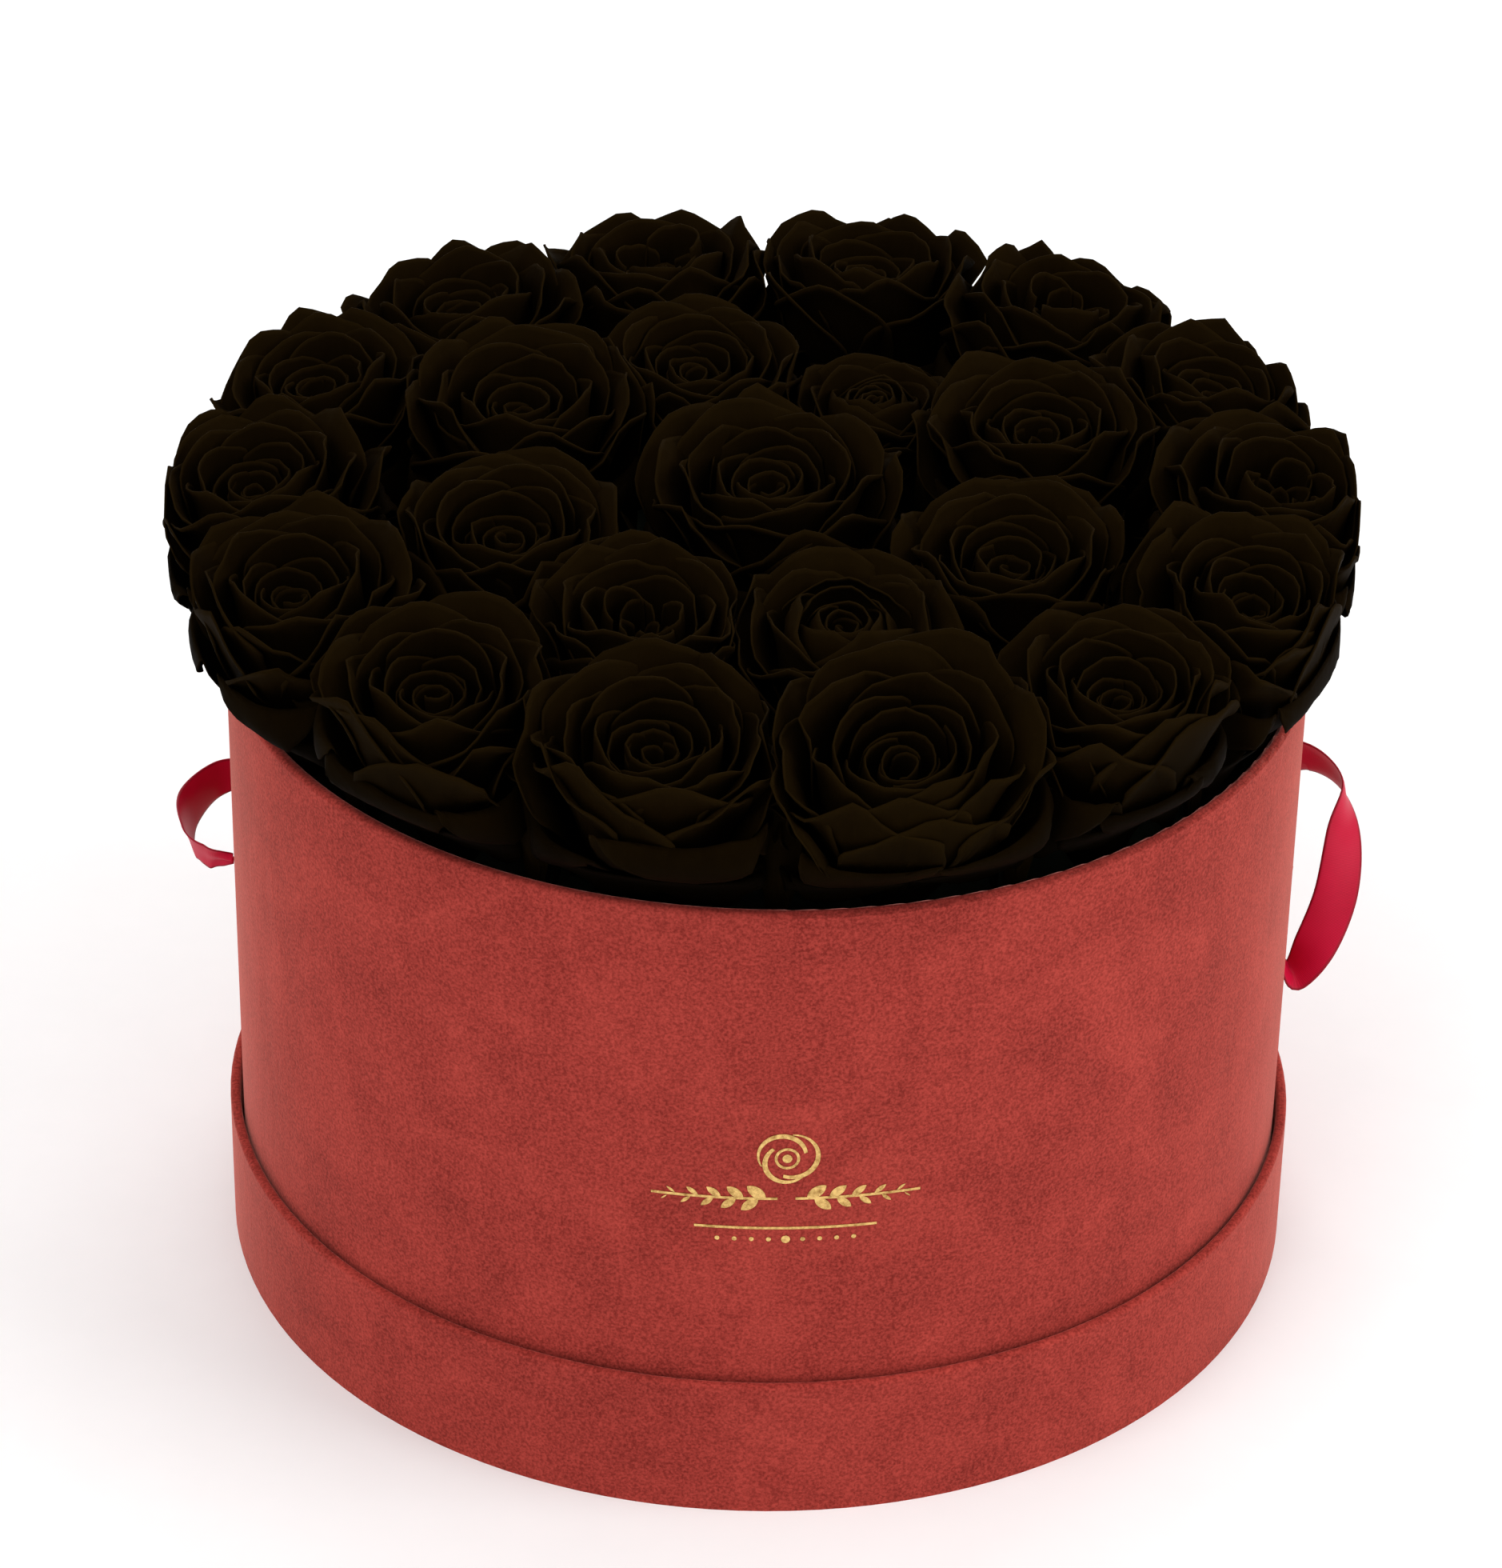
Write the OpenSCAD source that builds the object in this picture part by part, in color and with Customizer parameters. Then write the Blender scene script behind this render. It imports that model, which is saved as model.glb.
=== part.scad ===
// Round suede flower box standing in its own upturned lid, filled with
// preserved roses pushed into foam, with a satin ribbon loop on each side.
// Millimetres, +Z up, front towards -Y, origin at the middle of the underside.

/* [Box] */
// Outside radius of the covered box
box_r = 140; // [125:1:150]
// Height of the box rim above the table
rim_z = 176; // [150:1:200]
// Thickness of the wall and base board
board_t = 2; // [1.2:0.1:3]
// Thickness of the suede covering
suede_t = 0.6; // [0.4:0.1:1]
// Depth of the suede turned in over the rim
turn_in = 15; // [8:1:25]

/* [Lid used as a tray] */
// Outside radius of the covered lid
lid_r = 143.5; // [143:0.1:146]
// Height of the lid band
lid_h = 39; // [25:1:55]
// Thickness of the lid board
lid_board_t = 1.6; // [1.2:0.1:2]

/* [Roses] */
// Number of roses in the outer ring
outer_n = 14; // [12:1:14]
// Radius of the ring where the outer roses enter the foam
outer_ring_r = 124; // [120:0.5:126]
// Widest radius of an outer rose
outer_rose_r = 27.8; // [24:0.1:28]
// Outward lean of the outer roses in degrees
outer_tilt = 6; // [0:0.5:8]
// Height of the underside of the outer rose heads
head_z = 161; // [158:0.5:170]
// Height of one rose head
head_h = 69; // [60:1:72]
// Length of the stem below the calyx
stem_len = 58; // [30:1:65]
// Radius of a stem
stem_r = 2; // [1.5:0.1:2.5]

/* [Foam] */
// Height of the top of the foam
foam_z = 147; // [130:1:149]
// Radius of the trimmed foam
foam_r = 134.5; // [128:0.5:136]

/* [Ribbon handles] */
// Width of the ribbon
ribbon_w = 12; // [8:0.5:15]
// Thickness of the ribbon
ribbon_t = 0.5; // [0.4:0.05:0.8]
// Height of the ribbon holes
hole_z = 99; // [85:1:120]
// Radius of a ribbon hole
hole_r = 2.6; // [2:0.1:3.5]
// Direction of the right handle's middle, in degrees
handle_az = 12.2; // [0:0.1:20]
// Half the angle between the two holes of a handle
hole_half = 8.7; // [6:0.1:12]
// Reach of the ribbon loop beyond the wall
loop_reach = 27; // [22:1:34]

/* [Emblem] */
// Height of the middle of the foil emblem
emblem_z = 98; // [90:1:115]
// Width of the foil emblem
emblem_w = 66; // [50:1:75]
// Thickness of the foil
foil_t = 0.15; // [0.1:0.05:0.3]

/* [Hidden] */
suede_c = [0.71, 0.27, 0.24];
board_c = [0.55, 0.52, 0.47];
paper_c = [0.88, 0.86, 0.81];
dark_paper_c = [0.12, 0.11, 0.10];
foil_c = [0.86, 0.62, 0.35];
foam_c = [0.36, 0.46, 0.30];
stem_c = [0.13, 0.14, 0.07];
sepal_c = [0.09, 0.10, 0.05];
petal_c = [0.06, 0.05, 0.03];
satin_c = [0.71, 0.04, 0.16];

seg = 128;
gap = 0.1;                                      // clearance between parts that only touch
lining_t = 0.3;

// lid, from the outside inwards
lid_wrap_in = lid_r - suede_t;                  // suede meets the board
lid_board_in = lid_wrap_in - lid_board_t;
lid_floor = suede_t + board_t;
lid_turn_in = 16;                               // suede turned down inside the lid
lid_turn_t = 0.5;                               // it is pressed thinner there
lid_outer_fold = 1.2;                           // radius of the fold over the lid's edge, outside
lid_inner_fold = 1.0;                           // and inside

// box, from the outside inwards
base_z = lid_floor + lining_t;                  // its underside rests on the lid's floor lining
wrap_in = box_r - suede_t;                      // suede meets the board
board_in = wrap_in - board_t;
lining_in = board_in - lining_t;
turn_z = rim_z - turn_in;
base_top = base_z + suede_t + board_t;
rim_fold = 1.3;                                 // radius of the fold over the rim
rim_cap = 1.1;                                  // suede above the board once the fold is pressed
base_paper_r = 125;                             // paper that hides the raw edge of the suede underneath

// roses
outer_step = 360 / outer_n;
outer_first = -154.3;                           // direction of the first outer rose
calyx_h = 8;
calyx_r = 5.4;
neck_r = 10.8;                                  // where the bowl springs from the neck, inside the rim
neck_z = 17.4;
widest_z = head_h - 25;
shoulder_z = head_h - 12;
shoulder_h = 22;                                // roundness of the bowl above its widest point

// rings of rolled petals: foot radius, tip radius, and how far the tip is below the top
petal_rings = [[21, 23.6, 7], [15.5, 17.8, 2], [10, 11.6, 1], [5.2, 6, 4]];
petal_foot_z = head_h - 16;
bud_z = head_h - 11;
bud_r = 3.6;

// middle ring: direction, ring radius, head radius, head lift
middle_az = [-157, -115, -77, -33.5, 20.5, 61, 107, 149];
middle_ring = [72, 76.5, 74, 71, 75, 59, 63.5, 74.5];
middle_head = [25.5, 22.5, 24, 25, 25.5, 16, 24, 26];
middle_lift = [3, 2, 0, 2, 4, 2, 5, 4];
centre_head = 29;
centre_y = -4;
centre_lift = 4;

// foam, in two layers of three bricks
foam_base = base_top + lining_t;
foam_split = foam_base + 70;
foam_third = foam_r / 3;

// ribbons
loop_az = [handle_az + hole_half, handle_az - hole_half];
hinge_r = box_r + 1.9;                          // the line that a handle swings on
half_w = ribbon_w / 2;
gathered = 1.1;                                 // half the width of a ribbon end, gathered
bunched = 1.7;                                  // and where it starts to open
loop_end_r = 1.2;
loop_end_len = 4.2;
drill_from = box_r - 8;                         // the ribbon holes go through everything here
drill_len = 12;
ribbon_fit = 0.15;                              // a ribbon end is this much thinner than its hole
knot_r = 5.2;
knot_at = 131.2;                                // distance of a knot from the axis
pocket_from = 125.5;                            // hollow pressed in the foam by a knot
pocket_r = 6.4;

// ---- shared shapes ----

module ring(ri, ro, z0, z1) {
    rotate_extrude($fn = seg)
        translate([ri, z0]) square([ro - ri, z1 - z0]);
}

module disc(r, z0, z1) {
    translate([0, 0, z0]) cylinder(r = r, h = z1 - z0, $fn = seg);
}

// radial holes through the wall for the ribbons
module ribbon_holes() {
    for (side = [0, 1], a = loop_az)
        rotate([0, 0, side == 0 ? a : 180 - a])
            translate([drill_from, 0, hole_z]) rotate([0, 90, 0])
                cylinder(r = hole_r, h = drill_len, $fn = 32);
}

// the frame of one rose: foot of the head at the origin, stem along -Z
module at_outer(i) {
    rotate([0, 0, outer_first + outer_step * i])
        translate([outer_ring_r, 0, head_z]) rotate([0, outer_tilt, 0]) children();
}

module at_middle(i) {
    rotate([0, 0, middle_az[i]])
        translate([middle_ring[i], 0, head_z + middle_lift[i]]) children();
}

module at_centre() {
    translate([0, centre_y, head_z + centre_lift]) children();
}

// outline of the bowl of guard petals, from the calyx up to its widest point and shoulder
function bowl_z(t) = widest_z - (t > 0 ? widest_z - neck_z : shoulder_h) * sin(t);
function bowl(r) = concat(
    [[0, 0], [calyx_r - 1, 0]],
    [for (t = [90 : -9 : -36]) [neck_r + (r - neck_r) * cos(t), bowl_z(t)]],
    [[0, shoulder_z]]);

// rose head: bowl of guard petals, then rings of rolled petals around the bud
module head(r) {
    k = r / outer_rose_r;
    rotate_extrude($fn = 64)
        union() {
            polygon(bowl(r));
            for (p = petal_rings)
                hull() {
                    translate([p[0] * k, petal_foot_z])
                        circle(r = 2 * k, $fn = 24);
                    translate([p[1] * k, head_h - p[2]])
                        circle(r = k, $fn = 24);
                }
            intersection() {
                translate([0, bud_z])
                    circle(r = bud_r * k, $fn = 32);
                translate([0, bud_z - 2 * bud_r])
                    square(4 * bud_r);
            }
        }
}

// outline of a calyx from its top down to the stem
calyx_half = [
    [0, calyx_h], [calyx_r - 1.2, calyx_h], [calyx_r, 5],
    [calyx_r - 0.8, 2.4], [stem_r + 0.3, 0], [0, 0]];

module calyx() {
    translate([0, 0, -calyx_h])
        rotate_extrude($fn = 32)
            polygon(calyx_half);
}

module stem(len = stem_len, r = stem_r) {
    translate([0, 0, -calyx_h - len])
        cylinder(r = r, h = len, $fn = 24);
}

module each_rose() {
    for (i = [0 : outer_n - 1]) at_outer(i) children();
    for (i = [0 : len(middle_az) - 1]) at_middle(i) children();
    at_centre() children();
}

// ---- lid, turned over and used as a tray ----

module lid_suede_disc() {
    color(suede_c) disc(lid_wrap_in, 0, suede_t);
}

module lid_top_board() {
    color(board_c) disc(lid_wrap_in, suede_t, lid_floor);
}

module lid_wall_board() {
    color(board_c) ring(lid_board_in, lid_wrap_in, lid_floor, lid_h - suede_t);
}

// outside skin, over the lid's edge and down inside, with a rounded fold
module lid_suede_band() {
    inner = lid_board_in - lid_turn_t;
    color(suede_c)
        rotate_extrude($fn = seg) difference() {
            union() {
                translate([lid_wrap_in, 0])
                    square([suede_t, lid_h - lid_outer_fold]);
                translate([inner, lid_h - 2])
                    square([lid_r - inner, 2 - lid_outer_fold]);
                translate([inner + lid_inner_fold, lid_h - 2])
                    square([lid_r - lid_outer_fold - inner - lid_inner_fold, 2]);
                translate([inner, lid_h - lid_turn_in])
                    square([lid_turn_t, lid_turn_in - lid_inner_fold]);
                translate([lid_r - lid_outer_fold, lid_h - lid_outer_fold])
                    circle(r = lid_outer_fold, $fn = 32);
                translate([inner + lid_inner_fold, lid_h - lid_inner_fold])
                    circle(r = lid_inner_fold, $fn = 32);
            }
            translate([lid_board_in, -1])
                square([lid_board_t, lid_h - suede_t + 1]);
        }
}

module lid_wall_lining() {
    color(paper_c) ring(lid_board_in - lining_t, lid_board_in, base_z, lid_h - lid_turn_in);
}

module lid_floor_lining() {
    color(paper_c) disc(lid_board_in, lid_floor, base_z);
}

// ---- box ----

module box_wall_board() {
    color(board_c) difference() {
        ring(board_in, wrap_in, base_z + suede_t, rim_z - suede_t);
        ribbon_holes();
    }
}

module box_base_board() {
    color(board_c) disc(board_in, base_z + suede_t, base_top);
}

// outside skin, over the rim and down inside, and turned in under the base
module box_suede_wrap() {
    inner = board_in - suede_t;
    color(suede_c) difference() {
        rotate_extrude($fn = seg) difference() {
            union() {
                translate([wrap_in, base_z])
                    square([suede_t, rim_z - base_z - rim_fold]);
                translate([inner, rim_z - rim_fold - rim_cap])
                    square([box_r - inner, rim_cap + 0.1]);
                translate([inner + rim_fold, rim_z - rim_fold])
                    square([box_r - inner - 2 * rim_fold, rim_fold]);
                translate([inner, turn_z])
                    square([suede_t, turn_in - rim_fold]);
                translate([box_r - rim_fold, rim_z - rim_fold])
                    circle(r = rim_fold, $fn = 32);
                translate([inner + rim_fold, rim_z - rim_fold])
                    circle(r = rim_fold, $fn = 32);
                translate([base_paper_r, base_z])
                    square([box_r - base_paper_r, suede_t]);
            }
            translate([board_in, base_z + suede_t])
                square([board_t, rim_z - base_z - 2 * suede_t]);
        }
        ribbon_holes();
    }
}

module box_wall_lining() {
    color(dark_paper_c) difference() {
        ring(lining_in, board_in, base_top, turn_z);
        ribbon_holes();
    }
}

module box_base_lining() {
    color(dark_paper_c) disc(lining_in, base_top, base_top + lining_t);
}

module box_base_paper() {
    color(paper_c) disc(base_paper_r, base_z, base_z + suede_t);
}

// ---- emblem: an open rose over two leafy sprigs and a fine rule ----

line_w = 0.7;
rose_y = 8;
sprig_y = -4;
sprig_from = 2.2;
leaf_pairs = 5;
leaf_step = 5.4;
rule_y = -13;
rule_w = emblem_w * 0.68;
dots_y = -16;
dot_step = 4.2;
emblem_turn = 1.5;                              // the stamp sits a little off level

module leaf(l, w) {
    intersection() {
        translate([l / 2, w * 0.9])
            circle(r = l * 0.62, $fn = 40);
        translate([l / 2, -w * 0.9])
            circle(r = l * 0.62, $fn = 40);
    }
}

// three rolled petals around a bud, drawn as rings broken by gaps
module emblem_rose() {
    for (k = [0 : 2])
        rotate(120 * k + 20) difference() {
            translate([1.6, 0])
                circle(r = 6.6 - k * 0.4, $fn = 40);
            translate([1.3, 0.5])
                circle(r = 5.9 - k * 0.4, $fn = 40);
            rotate(150) translate([0, -9])
                square([20, 18]);
        }
    difference() {
        circle(r = 3.1, $fn = 32);
        circle(r = 3.1 - line_w, $fn = 32);
    }
    circle(r = 1.2, $fn = 24);
}

module emblem_sprig() {
    translate([sprig_from, sprig_y - 0.2])
        square([emblem_w / 2 - sprig_from, line_w]);
    for (j = [0 : leaf_pairs - 1])
        translate([5 + j * leaf_step, sprig_y + 0.1]) {
            rotate(38)
                leaf(6 - j * 0.45, 2.5);
            translate([1.8, 0.1]) rotate(-40)
                leaf(5.6 - j * 0.45, 2.4);
        }
}

module emblem_2d() {
    translate([0, rose_y])
        emblem_rose();
    for (s = [-1, 1])
        scale([s, 1])
            emblem_sprig();
    translate([-rule_w / 2, rule_y])
        square([rule_w, line_w]);
    for (j = [-4 : 4])
        translate([j * dot_step, dots_y])
            circle(r = j == 0 ? 1.1 : 0.6, $fn = 20);
}

module emblem_foil() {
    color(foil_c)
        intersection() {
            ring(box_r, box_r + foil_t, emblem_z - 25, emblem_z + 25);
            rotate([0, 0, emblem_turn]) translate([0, 20 - box_r, emblem_z]) rotate([90, 0, 0])
                linear_extrude(height = 30) emblem_2d();
        }
}

// ---- foam bricks, trimmed round ----

module knot_pockets() {
    for (side = [0, 1], a = loop_az)
        rotate([0, 0, side == 0 ? a : 180 - a])
            translate([pocket_from, 0, hole_z]) rotate([0, 90, 0])
                cylinder(r = pocket_r, h = drill_len, $fn = 32);
}

module brick(z0, z1, lo, hi, across) {
    color(foam_c) difference() {
        intersection() {
            disc(foam_r, z0, z1);
            rotate([0, 0, across ? 90 : 0])
                translate([lo, -foam_r - 1, z0 - 1]) cube([hi - lo, 2 * foam_r + 2, z1 - z0 + 2]);
        }
        each_rose() stem(stem_len + 0.1, stem_r + 0.05);
        knot_pockets();
    }
}

module foam_lower_left() { brick(foam_base, foam_split, -foam_r, -foam_third - gap, false); }
module foam_lower_mid() { brick(foam_base, foam_split, -foam_third, foam_third, false); }
module foam_lower_right() { brick(foam_base, foam_split, foam_third + gap, foam_r, false); }
module foam_upper_front() { brick(foam_split + gap, foam_z, -foam_r, -foam_third - gap, true); }
module foam_upper_mid() { brick(foam_split + gap, foam_z, -foam_third, foam_third, true); }
module foam_upper_back() { brick(foam_split + gap, foam_z, foam_third + gap, foam_r, true); }

// ---- roses ----

module rose_stems() { color(stem_c) each_rose() stem(); }
module rose_calyxes() { color(sepal_c) each_rose() calyx(); }

module outer_rose(i) { color(petal_c) at_outer(i) head(outer_rose_r); }
module middle_rose(i) { color(petal_c) at_middle(i) head(middle_head[i]); }

module rose_outer_01() { outer_rose(0); }
module rose_outer_02() { outer_rose(1); }
module rose_outer_03() { outer_rose(2); }
module rose_outer_04() { outer_rose(3); }
module rose_outer_05() { outer_rose(4); }
module rose_outer_06() { outer_rose(5); }
module rose_outer_07() { outer_rose(6); }
module rose_outer_08() { outer_rose(7); }
module rose_outer_09() { outer_rose(8); }
module rose_outer_10() { outer_rose(9); }
module rose_outer_11() { outer_rose(10); }
module rose_outer_12() { outer_rose(11); }
module rose_outer_13() { outer_rose(12); }
module rose_outer_14() { outer_rose(13); }
module rose_middle_1() { middle_rose(0); }
module rose_middle_2() { middle_rose(1); }
module rose_middle_3() { middle_rose(2); }
module rose_middle_4() { middle_rose(3); }
module rose_middle_5() { middle_rose(4); }
module rose_middle_6() { middle_rose(5); }
module rose_middle_7() { middle_rose(6); }
module rose_middle_8() { middle_rose(7); }
module rose_centre() { color(petal_c) at_centre() head(centre_head); }

// ---- ribbon handles ----

// the two ends of one ribbon: through the wall, knotted inside
module ribbon_ends(side) {
    color(satin_c)
        for (a = loop_az)
            rotate([0, 0, side == 0 ? a : 180 - a])
                translate([0, 0, hole_z]) {
                    translate([knot_at - 1.2, 0, 0]) rotate([0, 90, 0])
                        cylinder(r = hole_r - ribbon_fit, h = box_r + 1.5 - knot_at, $fn = 32);
                    translate([knot_at, 0, 0])
                        scale([0.9, 1, 1]) sphere(r = knot_r, $fn = 32);
                }
}

module ribbon_right_ends() { ribbon_ends(0); }
module ribbon_left_ends() { ribbon_ends(1); }

function unit(v) = v / norm(v);
function pol(r, a, z) = [r * cos(a), r * sin(a), z];
// smooth curve through stations, u from 0 to the last station
function knot(p, i) = p[max(0, min(len(p) - 1, i))];
function curve(p, u) =
    let (i = min(floor(u), len(p) - 2), t = u - i,
         a = knot(p, i - 1), b = knot(p, i), c = knot(p, i + 1), d = knot(p, i + 2))
    0.5 * ((2 * b) + (c - a) * t + (2 * a - 5 * b + 4 * c - d) * t * t
           + (3 * b - a - 3 * c + d) * t * t * t);

// a strip of ribbon through its stations, in n steps
module strip(stations, n) {
    pts = [for (s = stations) s[0]];
    dirs = [for (s = stations) s[1]];
    half = [for (s = stations) s[2]];
    last = len(stations) - 1;
    us = [for (k = [0 : n]) last * k / n];
    rows = [for (u = us)
        let (c = curve(pts, u),
             t = unit(curve(pts, min(last, u + 0.02)) - curve(pts, max(0, u - 0.02))),
             w0 = curve(dirs, u),
             w = unit(w0 - (w0 * t) * t),
             m = cross(t, w),
             h = curve(half, u),
             q = ribbon_t / 2)
        [c + w * h + m * q, c + w * h - m * q, c - w * h - m * q, c - w * h + m * q]];
    verts = [for (r = rows, p = r) p];
    faces = concat(
        [for (k = [0 : n - 1], e = [0 : 3])
            let (a = 4 * k + e, b = 4 * k + (e + 1) % 4)
            [a, b, b + 4]],
        [for (k = [0 : n - 1], e = [0 : 3])
            let (a = 4 * k + e, b = 4 * k + (e + 1) % 4)
            [a, b + 4, a + 4]],
        [[3, 2, 1, 0], [4 * n, 4 * n + 1, 4 * n + 2, 4 * n + 3]]);
    polyhedron(points = verts, faces = faces, convexity = 10);
}

// rolled end of a loop, round about the line the handle swings on
module loop_end(p, along) {
    translate(p) rotate([0, 0, along])
        rotate([90, 0, 0])
            cylinder(r = loop_end_r, h = loop_end_len, center = true, $fn = 24);
}

// each station of a loop: its middle, the way its width points, and half its width there
module ribbon_right_loop() {
    rear = pol(hinge_r, loop_az[0], hole_z);
    fore = pol(hinge_r, loop_az[1], hole_z);
    x = box_r + loop_reach;
    stations = [
        [rear, [0.3, -0.75, 0.6], gathered],
        [pol(hinge_r + 4, loop_az[0] - 0.2, hole_z + 0.8), [0.2, -0.6, 0.7], bunched],
        [pol(box_r + 11, loop_az[0] - 0.6, hole_z + 4.5), [0, -0.45, 0.9], half_w * 0.7],
        [pol(x - 9, 17.8, hole_z + 11), [0, -0.35, 0.94], half_w],
        [pol(x, 14.6, hole_z + 6), [-0.05, -0.66, 0.75], half_w],
        [pol(x, 11.3, hole_z - 5), [-0.75, -0.35, 0.5], half_w],
        [pol(x - 4, 8.0, hole_z - 18), [-0.9, 0.15, 0.35], half_w],
        [pol(x - 13, 5.0, hole_z - 29), [-0.6, 0.6, 0.3], half_w],
        [pol(box_r + 5.5, 4.0, hole_z - 36), [-0.12, 0.97, 0.2], half_w * 0.9],
        [pol(box_r + 1.75, 4.4, hole_z - 28), [-0.08, 1, 0], half_w * 0.77],
        [pol(box_r + 1.5, 4.2, hole_z - 14), [-0.07, 1, 0], half_w * 0.57],
        [fore, [-0.06, 1, 0], gathered]];
    color(satin_c) {
        strip(stations, 66);
        loop_end(rear, handle_az);
        loop_end(fore, handle_az);
    }
}

module ribbon_left_loop() {
    rear = pol(hinge_r, 180 - loop_az[0], hole_z);
    fore = pol(hinge_r, 180 - loop_az[1], hole_z);
    x = box_r + loop_reach - 6;
    stations = [
        [rear, [0.1, -0.3, 0.95], gathered],
        [pol(hinge_r + 4, 180.2 - loop_az[0], hole_z + 0.3), [0.05, -0.25, 0.96], bunched],
        [pol(box_r + 11, 180.6 - loop_az[0], hole_z + 0.8), [0, -0.2, 0.97], half_w * 0.7],
        [pol(x - 3, 162.6, hole_z + 1.2), [-0.1, -0.12, 0.98], half_w],
        [pol(x, 168.5, hole_z + 1.4), [-0.35, 0, 0.93], half_w],
        [pol(box_r + 16, 174.3, hole_z + 1.6), [-0.1, -0.5, 0.82], half_w],
        [pol(box_r + 9, 176.2, hole_z + 0.2), [0.1, -0.5, 0.8], half_w * 0.73],
        [pol(hinge_r + 3.4, 179.9 - loop_az[1], hole_z - 0.1), [0.15, -0.45, 0.82], bunched],
        [fore, [0.2, -0.4, 0.85], gathered]];
    color(satin_c) {
        strip(stations, 60);
        loop_end(rear, 180 - handle_az);
        loop_end(fore, 180 - handle_az);
    }
}

// ---- output ----

lid_suede_disc();
lid_top_board();
lid_wall_board();
lid_suede_band();
lid_wall_lining();
lid_floor_lining();
box_wall_board();
box_base_board();
box_suede_wrap();
box_wall_lining();
box_base_lining();
box_base_paper();
emblem_foil();
foam_lower_left();
foam_lower_mid();
foam_lower_right();
foam_upper_front();
foam_upper_mid();
foam_upper_back();
rose_stems();
rose_calyxes();
rose_outer_01();
rose_outer_02();
rose_outer_03();
rose_outer_04();
rose_outer_05();
rose_outer_06();
rose_outer_07();
rose_outer_08();
rose_outer_09();
rose_outer_10();
rose_outer_11();
rose_outer_12();
rose_outer_13();
rose_outer_14();
rose_middle_1();
rose_middle_2();
rose_middle_3();
rose_middle_4();
rose_middle_5();
rose_middle_6();
rose_middle_7();
rose_middle_8();
rose_centre();
ribbon_right_ends();
ribbon_left_ends();
ribbon_right_loop();
ribbon_left_loop();
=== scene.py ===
import math
from collections import namedtuple

import bpy
import numpy as np
from mathutils import Matrix, Vector


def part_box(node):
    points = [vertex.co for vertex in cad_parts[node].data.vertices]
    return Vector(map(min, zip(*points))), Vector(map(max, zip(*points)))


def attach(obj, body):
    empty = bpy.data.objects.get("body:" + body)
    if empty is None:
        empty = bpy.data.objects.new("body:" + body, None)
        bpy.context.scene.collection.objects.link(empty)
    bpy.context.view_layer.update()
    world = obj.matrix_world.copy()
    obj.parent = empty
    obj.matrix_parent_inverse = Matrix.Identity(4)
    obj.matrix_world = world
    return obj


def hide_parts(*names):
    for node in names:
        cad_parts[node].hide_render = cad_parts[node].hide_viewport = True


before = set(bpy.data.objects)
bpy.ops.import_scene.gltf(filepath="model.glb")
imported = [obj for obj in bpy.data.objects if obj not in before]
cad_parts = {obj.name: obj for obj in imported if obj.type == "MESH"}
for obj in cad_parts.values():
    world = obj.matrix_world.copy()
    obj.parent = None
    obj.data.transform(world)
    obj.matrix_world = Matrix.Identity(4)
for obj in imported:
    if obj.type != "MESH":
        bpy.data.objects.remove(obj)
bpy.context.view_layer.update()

MM = 0.001


# ---------------------------------------------------------------- sizes from the frame, in mm

def span(node):
    """Lowest and highest corner of a CAD node, in mm."""
    low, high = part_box(node)
    return np.array(low) / MM, np.array(high) / MM


BOX_R = span("box_suede_wrap")[1][0]
RIM_Z = span("box_suede_wrap")[1][2]
HEAD_FOOT_Z = span("rose_outer_04")[0][2]


# ---------------------------------------------------------------- small helpers

def piece(name, verts, faces, material, body, stands_for=()):
    """A smooth mesh piece, from points in mm, that rides on a body."""
    mesh = bpy.data.meshes.new(name)
    mesh.from_pydata((np.asarray(verts) * MM).tolist(), [], [list(f) for f in faces])
    mesh.update()
    mesh.shade_smooth()
    obj = bpy.data.objects.new(name, mesh)
    bpy.context.collection.objects.link(obj)
    obj.data.materials.append(material)
    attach(obj, body)
    if stands_for:
        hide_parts(*stands_for)
    return obj


def thicken(obj, thickness):
    """Give a sheet its thickness, in mm, half to each side."""
    solid = obj.modifiers.new("thickness", "SOLIDIFY")
    solid.thickness = thickness * MM
    solid.offset = 0.0


def grid_faces(rows, columns):
    """Quads of a grid of points numbered row by row."""
    corner = np.arange(rows - 1)[:, None] * columns + np.arange(columns - 1)[None, :]
    quads = np.stack([corner, corner + 1, corner + columns + 1, corner + columns], -1)
    return quads.reshape(-1, 4)


def smoothstep(low, high, x):
    """0 up to low, 1 from high, and an S-curve between them."""
    t = np.clip((x - low) / (high - low), 0.0, 1.0)
    return t * t * (3.0 - 2.0 * t)


def soft_limit(value, start, limit):
    """Values past start ease towards limit and never reach it."""
    room = np.maximum(limit - start, 1e-6)
    over = np.maximum(value - start, 0.0)
    return np.where(value > start, start + room * (1.0 - np.exp(-over / room)), value)


def waves(rng, x, terms, lowest=1.0):
    """A smooth random line along x: a few sines that weaken as they shorten."""
    total = np.zeros_like(x)
    for k in range(terms):
        pitch = lowest + k * 1.35 + rng.uniform(-0.3, 0.3)
        strength = rng.normal() / (1.0 + 0.6 * k)
        total = total + strength * np.sin(pitch * math.pi * x + rng.uniform(0, 6.28))
    return total


def follow(points, t):
    """Points on a smooth curve through the given ones, at parameters t from 0 to 1."""
    points = np.asarray(points, float)
    ends = np.vstack([2 * points[0] - points[1], points, 2 * points[-1] - points[-2]])
    s = np.clip(t, 0, 1) * (len(points) - 1)
    i = np.minimum(s.astype(int), len(points) - 2)
    f = (s - i)[..., None]
    a, b, c, d = ends[i], ends[i + 1], ends[i + 2], ends[i + 3]
    square = (2 * a - 5 * b + 4 * c - d) * f ** 2
    cube = (3 * b - a - 3 * c + d) * f ** 3
    return 0.5 * (2 * b + (c - a) * f + square + cube)


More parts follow.
